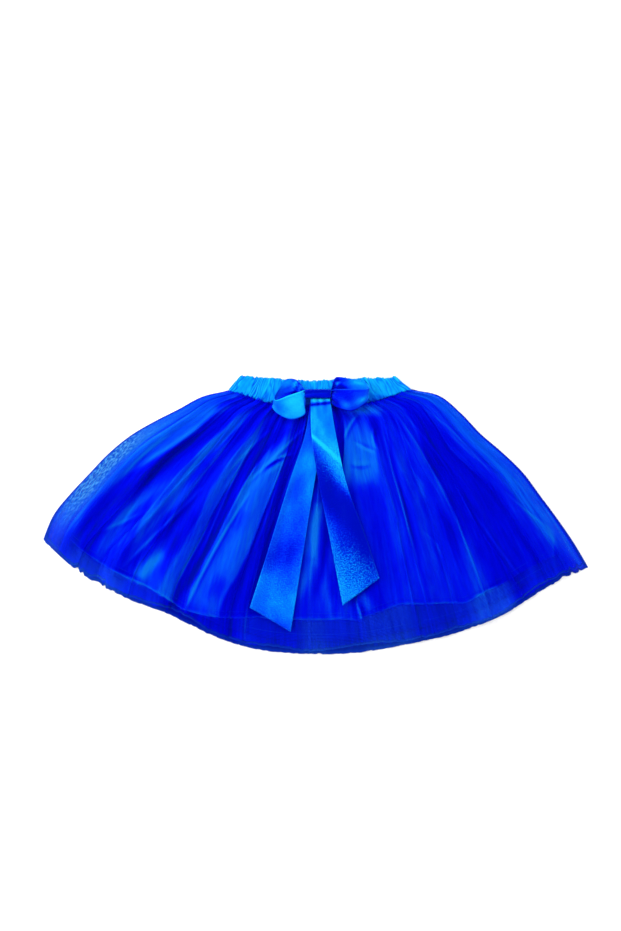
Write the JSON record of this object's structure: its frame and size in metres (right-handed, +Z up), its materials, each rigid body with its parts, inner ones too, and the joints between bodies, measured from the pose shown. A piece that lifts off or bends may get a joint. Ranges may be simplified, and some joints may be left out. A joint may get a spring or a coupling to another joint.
{
  "type": "tutu skirt",
  "caption": "Short gathered tulle skirt over a satin underskirt, on an elastic satin waistband with a flat satin bow and hanging tails, laid out flat.",
  "frame": {"origin": "on the surface that the skirt lies on, under the middle of its laid-flat outline", "axes": "+X across the skirt towards its right in the picture, +Y from the hem to the waist, +Z up from the surface"},
  "size_m": [0.627, 0.32, 0.0204],
  "materials": {
    "tulle": "sheer fine net, royal blue",
    "satin": "smooth satin with a soft sheen, royal blue",
    "waistband": "satin gathered over elastic, bright azure where it catches the light",
    "ribbon": "satin ribbon with a bright sheen"
  },
  "bodies": {
    "root": {"tulle_back": "tulle", "tulle_front": "tulle", "satin_back": "satin", "satin_front": "satin", "waistband_back": "waistband", "waistband_front": "waistband", "bow_knot": "ribbon", "bow_wing_left": "ribbon", "bow_wing_right": "ribbon", "bow_tail_left": "ribbon", "bow_tail_right": "ribbon"}
  },
  "joints": []
}
